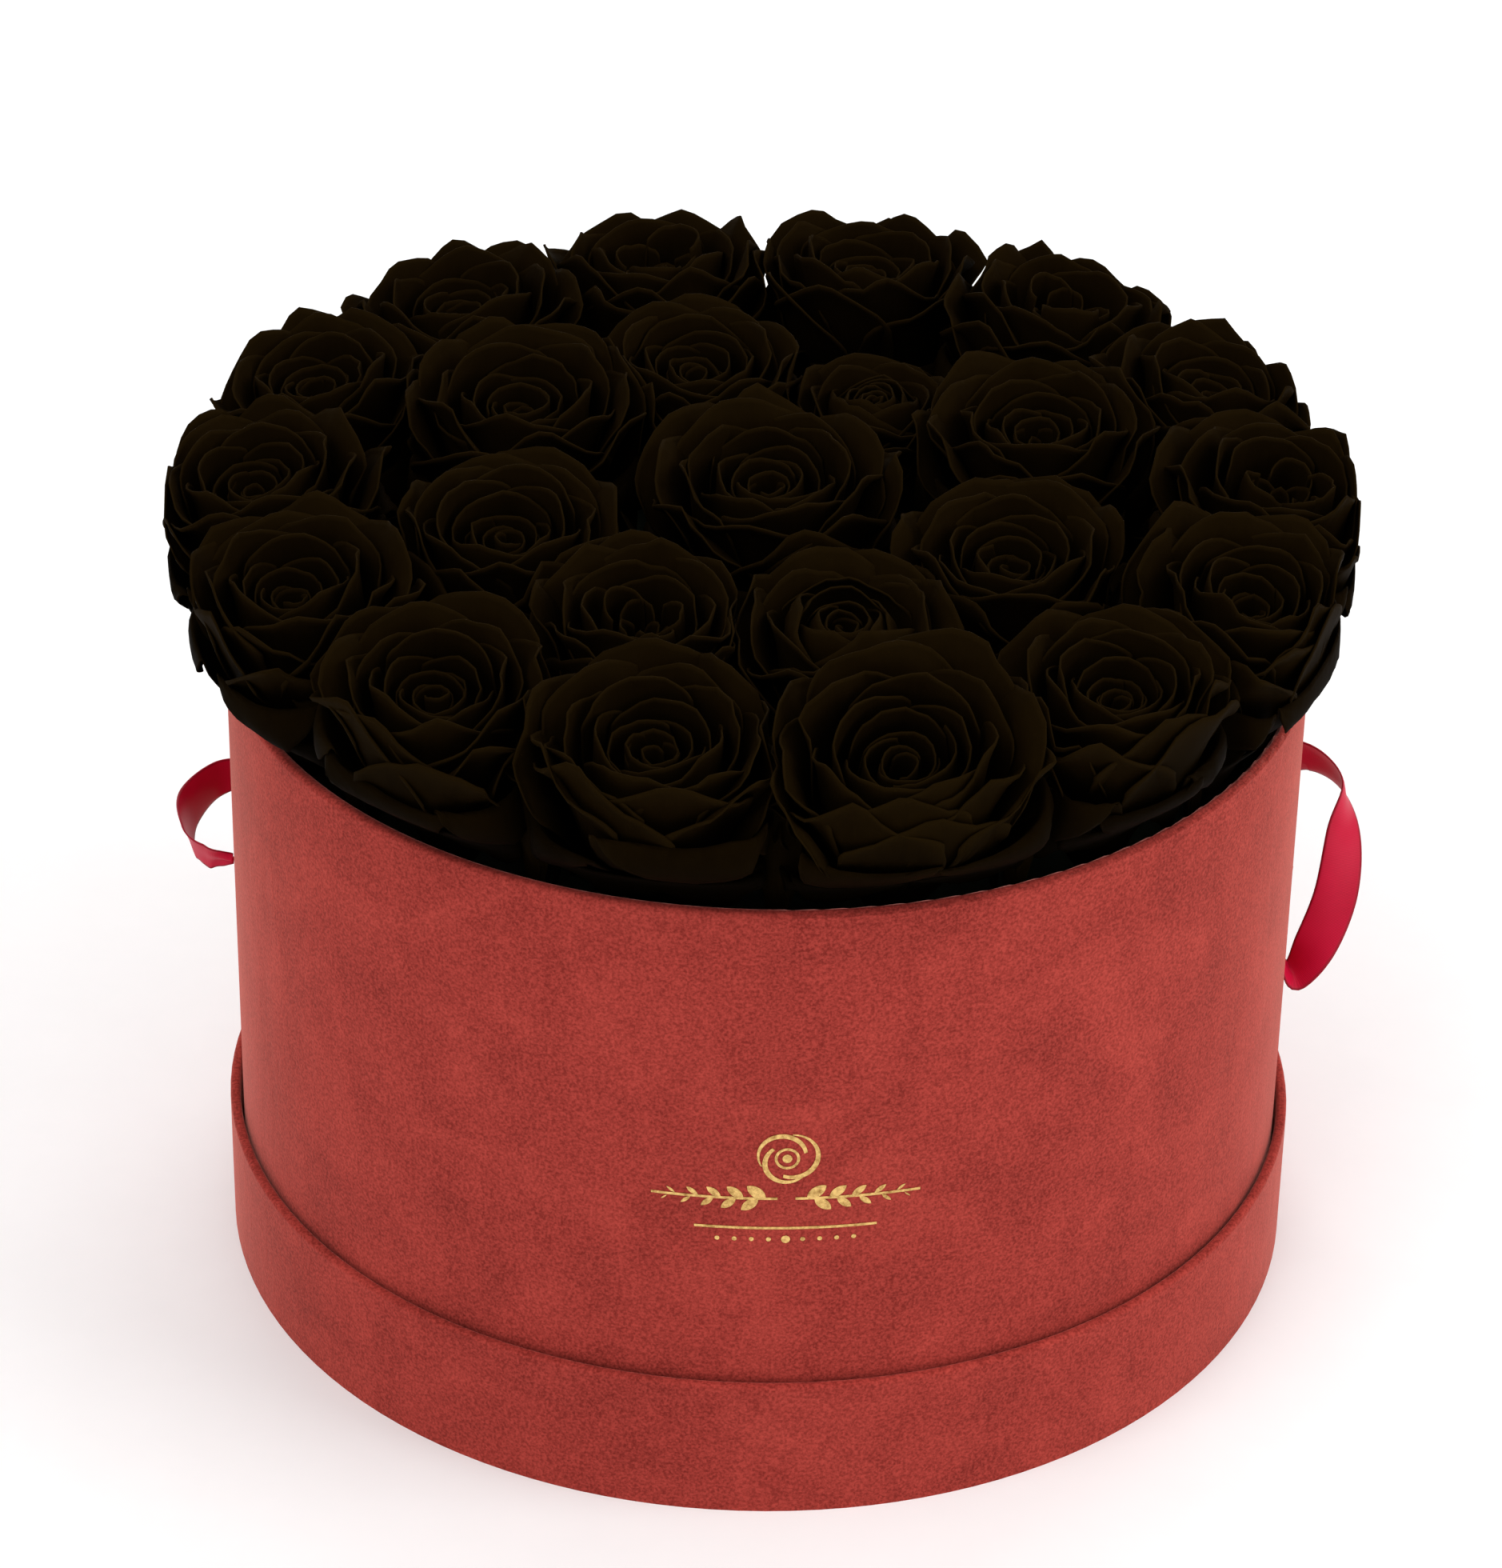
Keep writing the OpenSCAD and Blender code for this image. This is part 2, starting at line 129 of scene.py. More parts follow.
# ---------------------------------------------------------------- nodes of a material

def set_inputs(tree, node, inputs):
    """Set a node's inputs to values, or join them to other nodes' outputs."""
    for name, value in inputs.items():
        if isinstance(value, bpy.types.NodeSocket):
            tree.links.new(value, node.inputs[name])
        else:
            node.inputs[name].default_value = value


def new_node(tree, kind, inputs):
    node = tree.nodes.new(kind)
    set_inputs(tree, node, inputs)
    return node


def new_material(name):
    """A new material, its node tree and its shader."""
    material = bpy.data.materials.new(name)
    material.use_nodes = True
    return material, material.node_tree, material.node_tree.nodes["Principled BSDF"]


def texture_point(tree, scale=(1.0, 1.0, 1.0), turn=(0.0, 0.0, 0.0)):
    """Object coordinates, stretched and turned."""
    coordinates = tree.nodes.new("ShaderNodeTexCoord")
    inputs = {"Vector": coordinates.outputs["Object"], "Scale": scale, "Rotation": turn}
    return new_node(tree, "ShaderNodeMapping", inputs).outputs["Vector"]


def noise(tree, point, scale, detail, rough, distortion=0.0):
    """Fractal noise, with scale in features per metre."""
    inputs = {"Vector": point, "Scale": scale, "Detail": detail, "Roughness": rough,
              "Distortion": distortion}
    return new_node(tree, "ShaderNodeTexNoise", inputs).outputs["Fac"]


def ramp(tree, factor, stops):
    """A colour ramp through (place, colour) stops."""
    node = new_node(tree, "ShaderNodeValToRGB", {"Fac": factor})
    elements = node.color_ramp.elements
    while len(elements) < len(stops):
        elements.new(0.5)
    for element, (place, colour) in zip(elements, stops):
        element.position = place
        element.color = (*colour, 1.0)
    return node.outputs["Color"]


def mix(tree, factor, a, b, how="MIX"):
    """A blend of two colours, where each input is a value or a node's output."""
    node = tree.nodes.new("ShaderNodeMix")
    node.data_type = "RGBA"
    node.blend_type = how
    for name, kind, value in (("Factor", "VALUE", factor), ("A", "RGBA", a), ("B", "RGBA", b)):
        place = next(i for i, s in enumerate(node.inputs)
                     if s.name == name and s.type == kind and s.enabled)
        set_inputs(tree, node, {place: value})
    return next(s for s in node.outputs if s.type == "RGBA" and s.enabled)


def bump(tree, height, strength, distance, under=None):
    """A normal from a height, in metres, on top of another bump if one is given."""
    inputs = {"Height": height, "Strength": strength, "Distance": distance}
    if under is not None:
        inputs["Normal"] = under
    return new_node(tree, "ShaderNodeBump", inputs).outputs["Normal"]


def calculate(tree, operation, *values):
    node = new_node(tree, "ShaderNodeMath", dict(enumerate(values)))
    node.operation = operation
    return node.outputs["Value"]


def rise(tree, value, low, high, curve="LINEAR"):
    """0 where value is on low's side, 1 past high, and a slope between them."""
    node = new_node(tree, "ShaderNodeMapRange",
                    {"Value": value, "From Min": low, "From Max": high})
    node.interpolation_type = curve
    return node.outputs["Result"]


def separate(tree, point):
    return new_node(tree, "ShaderNodeSeparateXYZ", {"Vector": point}).outputs


def attribute(tree, name):
    node = tree.nodes.new("ShaderNodeAttribute")
    node.attribute_name = name
    return node.outputs["Fac"]


# ---------------------------------------------------------------- materials

NAP_DEEP = (0.115, 0.010, 0.007)
NAP_DARK = (0.165, 0.014, 0.010)
NAP = (0.290, 0.028, 0.021)
NAP_LIGHT = (0.400, 0.047, 0.035)
NAP_BRIGHT = (0.490, 0.066, 0.050)
NAP_FINISH = {"Roughness": 0.95, "Specular IOR Level": 0.10, "Sheen Weight": 0.60,
              "Sheen Roughness": 0.32, "Sheen Tint": (1.0, 0.36, 0.30, 1.0)}
SEAM_INNER = 0.0002
SEAM_OUTER = 0.0006
BEHIND_Y = 0.1

PETAL_DARK = (0.0034, 0.0017, 0.0003)
PETAL_LIGHT = (0.0072, 0.0038, 0.0007)
PETAL_LIP = (0.0098, 0.0053, 0.0012)
# painted shade: the near-black colour that petals low on each head fade to, standing in for the
# shade there
PETAL_PAINTED_SHADE = (0.0012, 0.0007, 0.0002)
PETAL_FINISH = {"Roughness": 0.70, "IOR": 1.15, "Specular IOR Level": 0.06,
                "Specular Tint": (1.0, 0.62, 0.25, 1.0)}

SATIN_DARK = (0.50, 0.0030, 0.029)
SATIN_LIGHT = (0.60, 0.0050, 0.043)
SATIN_EDGE = (0.30, 0.003, 0.018)
SATIN_FINISH = {"Roughness": 0.46, "Anisotropic": 0.6, "Specular IOR Level": 0.15,
                "Sheen Weight": 0.04, "Sheen Roughness": 0.3,
                "Sheen Tint": (1.0, 0.16, 0.26, 1.0)}
RIB_SCALE = 785.0
EDGE_INNER = 0.0052
EDGE_OUTER = 0.0056

FOIL_WORN = (0.34, 0.18, 0.05)
FOIL_BRIGHT = (0.84, 0.56, 0.20)
FOIL_FINISH = {"Metallic": 1.0, "Roughness": 0.32}


def back_seam(tree):
    """1 along the line at the back where the suede's two ends meet, and 0 elsewhere."""
    place = separate(tree, texture_point(tree))
    across = calculate(tree, "ABSOLUTE", place["X"])
    narrow = rise(tree, across, SEAM_OUTER, SEAM_INNER, "SMOOTHSTEP")
    behind = calculate(tree, "GREATER_THAN", place["Y"], BEHIND_Y)
    return calculate(tree, "MULTIPLY", narrow, behind)


def suede_material():
    """Brick-red suede: nap brushed in soft patches and streaks, fine grain, a back seam."""
    material, tree, shader = new_material("suede")
    clouds = noise(tree, texture_point(tree, (1.0, 1.0, 1.5)), 24.0, 7.0, 0.66, 0.8)
    brushed = texture_point(tree, (1.0, 1.0, 0.28), (0.45, 0.15, 0.0))
    strokes = noise(tree, brushed, 85.0, 4.0, 0.62, 0.3)
    grain = noise(tree, texture_point(tree), 1300.0, 2.0, 0.65)
    seam = back_seam(tree)
    patches = ramp(tree, clouds, [(0.34, NAP_DARK), (0.49, NAP), (0.62, NAP_LIGHT)])
    streaks = ramp(tree, strokes, [(0.32, NAP_DARK), (0.68, NAP_LIGHT)])
    specks = ramp(tree, grain, [(0.34, NAP_DEEP), (0.66, NAP_BRIGHT)])
    colour = mix(tree, 0.50, mix(tree, 0.38, patches, streaks), specks)
    normal = bump(tree, strokes, 0.30, 0.0008)
    normal = bump(tree, grain, 0.55, 0.0002, normal)
    normal = bump(tree, seam, -0.6, 0.0004, normal)
    set_inputs(tree, shader, {"Base Color": mix(tree, seam, colour, (*NAP_DEEP, 1.0)),
                              "Normal": normal, **NAP_FINISH})
    return material


def petal_material():
    """Preserved petal, nearly black and matt, with an olive cast, veins, browned lips and
    painted shade low on each head.
    """
    material, tree, shader = new_material("petal")
    patches = noise(tree, texture_point(tree), 70.0, 4.0, 0.62)
    veins = noise(tree, texture_point(tree, (1.0, 1.0, 0.25)), 420.0, 2.0, 0.5)
    flesh = ramp(tree, patches, [(0.30, PETAL_DARK), (0.72, PETAL_LIGHT)])
    lines = ramp(tree, veins, [(0.35, PETAL_DARK), (0.65, PETAL_LIGHT)])
    veined = mix(tree, 0.25, flesh, lines)
    browned = mix(tree, attribute(tree, "lip"), veined, (*PETAL_LIP, 1.0))
    # painted shade: petals fade towards the shade colour by their painted-shade weight, high low
    # on each head and in the gaps
    shaded = mix(tree, attribute(tree, "painted_shade"), browned, (*PETAL_PAINTED_SHADE, 1.0))
    set_inputs(tree, shader, {"Base Color": shaded, "Normal": bump(tree, veins, 0.35, 0.0004),
                              **PETAL_FINISH})
    return material


def satin_material():
    """Crimson satin ribbon: fine cross ribs, a broad soft shine and a woven edge each side."""
    material, tree, shader = new_material("satin")
    uv = tree.nodes.new("ShaderNodeUVMap")
    uv.uv_map = "weave"
    ribs = new_node(tree, "ShaderNodeTexWave",
                    {"Vector": uv.outputs["UV"], "Scale": RIB_SCALE, "Distortion": 0.4})
    ribs.wave_type = "BANDS"
    ribs.bands_direction = "Y"
    across = calculate(tree, "ABSOLUTE", separate(tree, uv.outputs["UV"])["X"])
    edge = rise(tree, across, EDGE_INNER, EDGE_OUTER)
    tone = noise(tree, texture_point(tree), 60.0, 3.0, 0.5)
    colour = ramp(tree, tone, [(0.3, SATIN_DARK), (0.7, SATIN_LIGHT)])
    woven = mix(tree, 0.18, colour, ribs.outputs["Color"], "MULTIPLY")
    normal = bump(tree, edge, 0.4, 0.0002)
    normal = bump(tree, ribs.outputs["Fac"], 0.25, 0.00006, normal)
    set_inputs(tree, shader, {"Base Color": mix(tree, edge, woven, (*SATIN_EDGE, 1.0)),
                              "Normal": normal, **SATIN_FINISH})
    return material


def foil_material():
    """Hot-stamped gold foil, taking the nap's texture and worn a little."""
    material, tree, shader = new_material("foil")
    wear = noise(tree, texture_point(tree), 600.0, 4.0, 0.7)
    grain = noise(tree, texture_point(tree), 2200.0, 2.0, 0.5)
    colour = ramp(tree, wear, [(0.30, FOIL_WORN), (0.62, FOIL_BRIGHT)])
    set_inputs(tree, shader, {"Base Color": colour, "Normal": bump(tree, grain, 0.5, 0.0002),
                              **FOIL_FINISH})
    return material


def fibre_material(name, dark, light, scale, rough=0.9, depth=0.0003):
    """Board, paper, foam or stem: two tones of one colour with a fine surface."""
    material, tree, shader = new_material(name)
    point = texture_point(tree)
    coarse = noise(tree, point, scale, 5.0, 0.65)
    fine = noise(tree, point, scale * 9.0, 3.0, 0.6)
    tones = [(0.3, dark), (0.7, light)]
    colour = mix(tree, 0.4, ramp(tree, coarse, tones), ramp(tree, fine, tones))
    set_inputs(tree, shader, {"Base Color": colour, "Normal": bump(tree, fine, 0.5, depth),
                              "Roughness": rough, "Specular IOR Level": 0.2})
    return material


SUEDE = suede_material()
PETAL = petal_material()
SATIN = satin_material()
FOIL = foil_material()
BOARD = fibre_material("greyboard", (0.19, 0.17, 0.14), (0.30, 0.27, 0.23), 160.0)
PAPER = fibre_material("lining_light", (0.66, 0.63, 0.56), (0.78, 0.75, 0.69), 90.0, 0.8, 0.0001)
DARK_PAPER = fibre_material("lining_dark", (0.010, 0.009, 0.008), (0.022, 0.019, 0.017),
                            90.0, 0.85, 0.0001)
FOAM = fibre_material("foam", (0.006, 0.009, 0.005), (0.016, 0.022, 0.011), 240.0, 0.95, 0.0006)
STEM = fibre_material("stem", (0.010, 0.012, 0.004), (0.022, 0.026, 0.009), 200.0)
SEPAL = fibre_material("sepal", (0.005, 0.0045, 0.0013), (0.010, 0.0088, 0.0026), 150.0, 0.7)
FLOOR = fibre_material("floor", (0.91, 0.91, 0.91), (0.94, 0.94, 0.94), 6.0, 0.9, 0.00005)

# what the names of each material's CAD nodes start with
CARRIED = (
    (SUEDE, ("lid_suede", "box_suede")),
    (BOARD, ("lid_top_board", "lid_wall_board", "box_wall_board", "box_base_board")),
    (PAPER, ("lid_wall_lining", "lid_floor_lining", "box_base_paper")),
    (DARK_PAPER, ("box_wall_lining", "box_base_lining")),
    (FOIL, ("emblem_foil",)),
    (FOAM, ("foam_",)),
    (STEM, ("rose_stems",)),
    (SEPAL, ("rose_calyxes",)),
    (SATIN, ("ribbon_",)),
    (PETAL, ("rose_outer", "rose_middle", "rose_centre")),
)


def repaint():
    """Every CAD node takes its material."""
    for material, starts in CARRIED:
        for node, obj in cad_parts.items():
            if node.startswith(starts):
                obj.data.materials.clear()
                obj.data.materials.append(material)


# ---------------------------------------------------------------- one rose

GOLDEN = math.radians(137.5)
BLOOM_PETALS = 27
GUARD_RINGS = ((5, 45.0, 0.92), (6, 33.0, 0.86))    # petals, fold height, spread
HEART_END = 0.22                                    # share of the petals that form the heart
STAR_END = 0.34
USUAL_SIZE = 33.0
PETAL_T = 0.45


def petal(rng, turn, profile, half, columns, rows, tuck, spiral, curl, ruffle, drop, tip):
    """One petal on a rose standing on z, in mm: its points, quads and lip weights.

    turn     where its middle faces, in radians
    profile  (radius, height) points from its foot to its lip
    half     half its width, in radians, at its widest
    tuck     how far its side edges draw in, as a share of the radius
    spiral   how much more one side stands out than the other
    curl     how far the lip rolls outward
    ruffle   how wavy the lip is
    drop     how much lower the side edges end, as a share of its length
    tip      how far its middle stands up to a point
    """
    u = np.sin(np.linspace(-1.0, 1.0, columns) * math.pi / 2 * 0.9)
    u = (u / u[-1])[None, :]
    v = (1.0 - (1.0 - np.linspace(0.0, 1.0, rows)) ** 1.35)[:, None]
    along = follow(profile, v * (1.0 - drop * np.abs(u) ** 2.4))
    radius, height = along[..., 0], along[..., 1]

    width = half * (0.55 + 0.45 * np.sin(np.clip(v / 0.7, 0, 1) * math.pi / 2))
    width = width * (1.0 - 0.10 * smoothstep(0.8, 1.0, v))
    angle = turn + u * width + 0.03 * waves(rng, v, 2) * np.ones_like(u)
    radius = radius * (1.0 - tuck * u ** 2 + spiral * u)

    near_lip = smoothstep(0.60, 1.0, v)
    near_side = smoothstep(0.70, 1.0, np.abs(u)) * smoothstep(0.25, 0.8, v)
    roll = curl * (0.60 + 0.60 * np.sin(np.abs(u) * 2.4) ** 2 + 0.22 * waves(rng, u, 2))
    side_roll = curl * 0.35 * near_side
    radius = radius + roll * near_lip + side_roll
    height = height - 0.85 * roll * near_lip ** 2 - 0.15 * side_roll

    radius = radius + 0.60 * ruffle * v ** 3 * waves(rng, u, 4, 1.4)
    radius = radius + 0.25 * ruffle * waves(rng, v, 3) * waves(rng, u, 3)
    point_up = tip * np.exp(-(u / 0.24) ** 2)
    height = height + near_lip * (0.40 * ruffle * waves(rng, u, 5, 1.8) + point_up)

    points = np.stack([radius * np.cos(angle), radius * np.sin(angle), height], -1)
    lip = np.maximum(v ** 6, 0.8 * np.abs(u) ** 10) * np.ones_like(radius)
    return points.reshape(-1, 3), grid_faces(rows, columns), lip.ravel()


def join(petals):
    """Several petals as one list of points, of quads and of lip weights."""
    points, quads, lips = zip(*petals)
    firsts = np.cumsum([0] + [len(p) for p in points[:-1]])
    faces = [q + first for q, first in zip(quads, firsts)]
    return np.vstack(points), np.vstack(faces), np.concatenate(lips)


def bloom_petal(rng, start, k, size, heart):
    """The k-th petal of the spiral, from the heart outward."""
    t = k / (BLOOM_PETALS - 1)
    turn = start + k * GOLDEN + rng.normal() * 0.10
    reach = size * (0.085 + 0.845 * t ** 0.86) * (1.0 + 0.03 * rng.normal() * (t > 0.2))
    lean = smoothstep(0.18, 0.85, t)
    curl = 0.3 if t < HEART_END else 0.9 + 4.2 * lean
    tall = 0.97 * (size / USUAL_SIZE) ** 0.25
    crown = (58.0 + 9.5 * smoothstep(0.0, 0.45, t) - 3.0 * smoothstep(0.62, 1.0, t)) * tall
    if heart == "bud":
        crown += 5.0 * (1 - smoothstep(0.0, 0.5, t))
    crown = crown + rng.normal() * 0.9 + 0.3 * curl

    belly = reach * (1.14 - 0.36 * lean)
    foot = 3.0 + 2.5 * t
    profile = [(foot, 5.0 + 3.0 * (1 - t)),
               (min(10.5, foot + 3.0 + reach * 0.25), 17.0 - 1.0 * t),
               (belly * 0.84, 28.0 + 4.0 * (1 - t)),
               (belly, 42.0 + 3.0 * (1 - t)),
               (0.5 * belly + 0.5 * reach, crown - 9.0 + 3.0 * (1 - t)),
               (reach, crown)]
    half = (13.5 + 11.5 * t) * rng.uniform(0.88, 1.12) / max(reach, 3.0)
    half = np.clip(half, 0.74, 2.35)
    spiral, tuck, drop = 0.025, 0.055, 0.12 + 0.14 * t
    if t < HEART_END:
        spiral, tuck, drop = (0.20 if heart != "star" else 0.10), 0.0, 0.06
    if heart == "star" and t < STAR_END:
        half, tuck, curl, drop = 0.95, 0.38, 0.4, 0.10
    if heart == "bud" and t < 0.5:
        profile[-1] = (reach * 0.72, crown)
    tip = (0.3 + 2.2 * lean) * rng.uniform(0.0, 1.0)
    columns = 17 if t > 0.3 else 15
    return petal(rng, turn, profile, half, columns, 11, tuck, spiral, curl,
                 0.30 + 0.65 * t, drop, tip)


def guard_petal(rng, turn, fold, size, spread):
    """A low outer petal that folds over outward."""
    turn = turn + rng.normal() * 0.14
    reach = size * spread * rng.uniform(0.93, 1.03)
    height = fold + rng.normal() * 2.0
    profile = [(6.0, 6.0), (10.2, 15.5), (reach * 0.68, 0.5 * height + 6.0),
               (reach * 0.92, height - 5.0), (reach * 1.03, height),
               (reach * 1.08, height - 5.0), (reach * 1.06, height - 13.0)]
    half = rng.uniform(0.58, 0.82)
    tip = rng.uniform(-1.5, 0.5)
    return petal(rng, turn, profile, half, 17, 12, 0.04, 0.02, 0.8, 1.3, 0.24, tip)


def rose(seed, size, heart):
    """A preserved rose, full blown, standing on z from its sepals."""
    rng = np.random.default_rng(seed)
    start = rng.uniform(0, 2 * math.pi)
    petals = [bloom_petal(rng, start, k, size, heart) for k in range(BLOOM_PETALS)]
    for ring, (count, fold, spread) in enumerate(GUARD_RINGS):
        for k in range(count):
            turn = start + 0.5 + ring * 0.55 + k * 2 * math.pi / count
            petals.append(guard_petal(rng, turn, fold, size, spread))
    return join(petals)


# ---------------------------------------------------------------- the roses in the box

HEAD_WIDEST = 44.0      # height on a head where it is widest
NECK_Z = 24.0           # height on a head about which it nods
WALL_IN = 136.5         # radius inside the lining
OVERHANG = 153.5        # how far petals may stand out above the rim
SLOPE_Z = 20.0          # height above the rim where they do so
FULLER = 1.20           # a bloom's size against its CAD head
FLAT_FRONT = 0.14       # how much flatter a head is on the box's outside
NEIGHBOUR = 85.0        # heads nearer than this press on each other
# heights on a head, in mm: full painted shade below the first, none above the second
SHADE_FULL_Z, SHADE_GONE_Z = 28.0, 58.0

# heart, size against the CAD head, and how far it nods toward the front, in degrees
CHARACTER = {
    "rose_outer_01": ("swirl", 1.02, 6),
    "rose_outer_02": ("swirl", 0.98, 10),
    "rose_outer_03": ("swirl", 1.00, 9),
    "rose_outer_04": ("swirl", 1.10, 17),
    "rose_outer_05": ("swirl", 0.94, 7),
    "rose_outer_06": ("swirl", 1.02, 7),
    "rose_outer_07": ("star", 1.03, 7),
    "rose_outer_08": ("swirl", 1.00, 5),
    "rose_outer_09": ("star", 1.06, 6),
    "rose_outer_10": ("swirl", 1.04, 5),
    "rose_outer_11": ("star", 1.06, 5),
    "rose_outer_12": ("swirl", 1.08, 6),
    "rose_outer_13": ("swirl", 1.02, 7),
    "rose_outer_14": ("swirl", 1.03, 6),
    "rose_middle_1": ("swirl", 1.02, 10),
    "rose_middle_2": ("star", 1.08, 10),
    "rose_middle_3": ("bud", 1.04, 9),
    "rose_middle_4": ("swirl", 1.02, 9),
    "rose_middle_5": ("swirl", 1.06, 8),
    "rose_middle_6": ("bud", 1.10, 8),
    "rose_middle_7": ("swirl", 1.04, 8),
    "rose_middle_8": ("swirl", 1.10, 8),
    "rose_centre": ("swirl", 1.0, 9),
}

Head = namedtuple("Head", "node foot axis centre size heart nod")


def stance(node):
    """A CAD head's foot and the middle of its box, from its own mesh, in mm."""
    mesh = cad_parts[node].data
    points = np.empty(len(mesh.vertices) * 3)
    mesh.vertices.foreach_get("co", points)
    points = points.reshape(-1, 3) / MM
    low = points[points[:, 2] < points[:, 2].min() + 2.0]
    return 0.5 * (low.min(0) + low.max(0)), 0.5 * (points.min(0) + points.max(0))


def read_head(node):
    """Where a head stands, which way it points and what kind of rose it is."""
    heart, share, nod = CHARACTER[node]
    low, high = span(node)
    half = 0.5 * (high - low)
    foot, middle = stance(node)
    axis = np.array([0.0, 0.0, 1.0])
    if "outer" in node:
        axis = np.array([middle[0] - foot[0], middle[1] - foot[1], half[2]])
        axis = axis / np.linalg.norm(axis)
    size = min(half[0], half[1]) * FULLER * share
    return Head(node, foot, axis, foot + axis * HEAD_WIDEST, size, heart, nod)


def set_down(points, head):
    """Tilt a rose to its head's axis, nod it towards the front and move it to its foot."""
    side = np.cross([0.0, 1.0, 0.0], head.axis)
    side = side / np.linalg.norm(side)
    points = points @ np.stack([side, np.cross(head.axis, side), head.axis], 1).T
    neck = head.axis * NECK_Z
    angle = math.radians(head.nod) * smoothstep(10.0, 40.0, points[:, 2])
    x, y, z = (points - neck).T
    forward = y * np.cos(angle) - z * np.sin(angle)
    upward = y * np.sin(angle) + z * np.cos(angle)
    return np.stack([x, forward, upward], 1) + neck + head.foot


def press_apart(points, index, heads):
    """Keep a rose on its own side of a wavy line between it and each neighbour."""
    head = heads[index]
    for place, other in enumerate(heads):
        gap = (other.centre - head.centre)[:2]
        distance = np.hypot(*gap)
        if place == index or distance >= NEIGHBOUR:
            continue
        sign = np.sign(place - index)
        direction = gap / distance
        along = (points[:, :2] - head.centre[:2]) @ direction
        beside = (points[:, :2] - head.centre[:2]) @ np.array([-direction[1], direction[0]])
        give = 1.6 * np.sin(0.23 * points[:, 2] + index + place)
        give = give + 1.2 * np.sin(0.30 * beside * sign)
        limit = distance * head.size / (head.size + other.size) - 0.4 + give * sign
        shift = soft_limit(along, 0.84 * limit, limit) - along
        points[:, :2] += shift[:, None] * direction


def flatten_outside(points, head):
    """Press in the side of a head that faces out of the box."""
    outward = head.centre[:2] / np.hypot(*head.centre[:2])
    ahead = (points[:, :2] - head.centre[:2]) @ outward
    points[:, :2] -= (FLAT_FRONT * np.maximum(ahead, 0.0))[:, None] * outward


def hold_inside(points):
    """Keep petals inside the wall up to the rim, and within a small overhang above it."""
    out = np.maximum(np.hypot(points[:, 0], points[:, 1]), 1e-6)
    widest = OVERHANG - 2.5 * points[:, 0] / out
    above = smoothstep(RIM_Z, RIM_Z + SLOPE_Z, points[:, 2])
    reach = WALL_IN - 1.0 + (widest - WALL_IN + 1.0) * above
    points[:, :2] *= (soft_limit(out, reach - 7.0, reach) / out)[:, None]


def finish_petals(obj, lips, shade_weights):
    """Petals take their lip weights, their painted-shade weights and their thickness."""
    for name, values in (("lip", lips), ("painted_shade", shade_weights)):
        weights = obj.data.attributes.new(name, "FLOAT", "POINT")
        weights.data.foreach_set("value", values)
    thicken(obj, PETAL_T)


def make_roses():
    """A rose of thin petals for every CAD head."""
    heads = [read_head(node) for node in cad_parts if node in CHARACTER]
    for index, head in enumerate(heads):
        points, faces, lips = rose(100 + index * 7, head.size, head.heart)
        # painted shade: darkest at the foot of each head, fading out towards the crown
        shade_weights = 1.0 - smoothstep(SHADE_FULL_Z, SHADE_GONE_Z, points[:, 2])
        points = set_down(points, head)
        press_apart(points, index, heads)
        if "outer" in head.node:
            flatten_outside(points, head)
        hold_inside(points)
        obj = piece(head.node + "_bloom", points, faces, PETAL, "box", [head.node])
        finish_petals(obj, lips, shade_weights)


def gaps_between_heads():
    """Where loose petals stand: (x, y) and height of each."""
    outer = sorted(n for n in CHARACTER if "outer" in n)
    inner = [n for n in CHARACTER if "outer" not in n]
    spots = []
    for first, second in zip(outer, outer[1:] + outer[:1]):
        between = 0.5 * (stance(first)[1] + stance(second)[1])[:2]
        away = between / np.hypot(*between)
        spots += [(between + away * 8.0, 46.0), (between - away * 14.0, 44.0), (between, 50.0)]
    for first in inner:
        for second in CHARACTER:
            gap = stance(second)[1][:2] - stance(first)[1][:2]
            if second > first and 0.0 < np.hypot(*gap) < 80.0:
                spots.append((stance(first)[1][:2] + 0.5 * gap, 40.0))
    return spots


def make_loose_petals():
    """Small petals in the gaps between the heads, so that no light comes through; they take an
    even painted shade.
    """
    rng = np.random.default_rng(77)
    petals = []
    for spot, tall in gaps_between_heads():
        for _ in range(2):
            turn = rng.uniform(0, 2 * math.pi)
            top = tall + rng.uniform(-4.0, 3.0)
            profile = [(1.0, 2.0), (3.0, 14.0), (4.5, 0.6 * top), (4.2, top - 4.0), (6.0, top)]
            points, quads, lip = petal(rng, turn, profile, 1.5, 13, 9, 0.0, 0.12, 1.8, 0.7,
                                       0.3, 1.0)
            petals.append((points + np.array([*spot, HEAD_FOOT_Z]), quads, lip))
    points, faces, lips = join(petals)
    hold_inside(points)
    obj = piece("loose_petals", points, faces, PETAL, "box")
    # painted shade: the loose petals sit deep in the gaps between heads and are darkened evenly
    # all over
    finish_petals(obj, lips, 0.4 * np.ones(len(points)))


# ---------------------------------------------------------------- ribbon handles

RIBBON_HALF = 6.0
RIBBON_T = 0.4
RIBBON_CLEAR = 0.45     # from the suede to the ribbon's middle
GATHERED_HALF = 1.1     # half the ribbon's width where it goes into the wall
RIBBON_ROWS = 110
RIBBON_COLUMNS = 13


def pol(radius, azimuth, height):
    """A point from its distance to the box's axis, its azimuth in degrees and its height."""
    turn = math.radians(azimuth)
    return (radius * math.cos(turn), radius * math.sin(turn), height)


